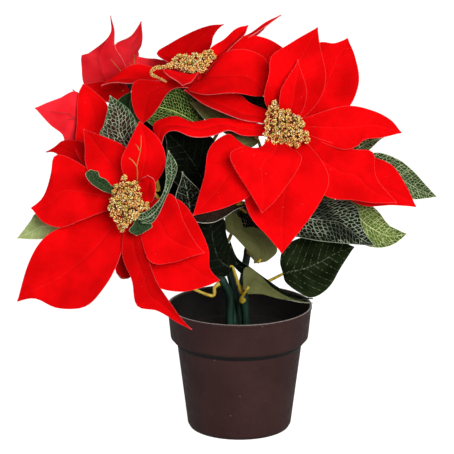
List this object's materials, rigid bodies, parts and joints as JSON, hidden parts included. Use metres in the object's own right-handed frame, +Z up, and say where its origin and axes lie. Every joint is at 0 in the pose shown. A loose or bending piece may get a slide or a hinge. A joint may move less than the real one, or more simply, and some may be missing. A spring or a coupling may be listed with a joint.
{
  "type": "artificial poinsettia in a nursery pot",
  "caption": "Artificial poinsettia with red velvet bracts, beaded yellow centres and veined green leaves, standing in a round tapered nursery pot.",
  "frame": {"origin": "centre of the pot's flat base", "axes": "+Z up the pot's axis, -Y towards the side with the two forward-facing flowers, +X to the right seen from there"},
  "size_m": [0.3395, 0.2199, 0.3404],
  "materials": {
    "pot": "satin brown injection-moulded plastic, nearly black inside",
    "plug": "dark cement filling",
    "stem": "dark green plastic-coated wire",
    "bract": "bright red velvet, lighter at the cut edges",
    "stamen": "yellow beads with brown and green between them",
    "leaf": "dark green printed fabric with pale veins, olive underneath, yellow plastic leaf stalk"
  },
  "bodies": {
    "root": {"black_green_leaf": "leaf", "corner_leaf": "leaf", "dark_middle_leaf": "leaf", "dark_rim_leaf": "leaf", "edge_leaf": "leaf", "far_middle_bracts": "bract", "far_outer_bracts": "bract", "far_stamens": "stamen", "far_stem": "stem", "hanging_leaf": "leaf", "left_core_bracts": "bract", "left_green_bracts": "leaf", "left_inner_bracts": "bract", "left_middle_bracts": "bract", "left_outer_bracts": "bract", "left_stamens": "stamen", "left_stem": "stem", "long_right_leaf": "leaf", "lower_right_leaf": "leaf", "notch_leaf": "leaf", "olive_leaf": "leaf", "pale_left_leaf": "leaf", "plug": "plug", "pot": "pot", "rear_left_leaf": "leaf", "rear_low_leaf": "leaf", "rear_middle_bracts": "bract", "rear_middle_leaf": "leaf", "rear_outer_bracts": "bract", "rear_right_leaf": "leaf", "rear_stamens": "stamen", "rear_stem": "stem", "rear_top_leaf": "leaf", "right_inner_bracts": "bract", "right_middle_bracts": "bract", "right_outer_bracts": "bract", "right_stamens": "stamen", "right_stem": "stem", "rim_leaf": "leaf", "small_right_leaf": "leaf", "top_inner_bracts": "bract", "top_middle_bracts": "bract", "top_outer_bracts": "bract", "top_stamens": "stamen", "top_stem": "stem", "turned_leaf": "leaf", "under_left_leaf": "leaf", "under_top_leaf": "leaf", "upright_leaf": "leaf", "yellow_green_leaf": "leaf"}
  },
  "joints": []
}
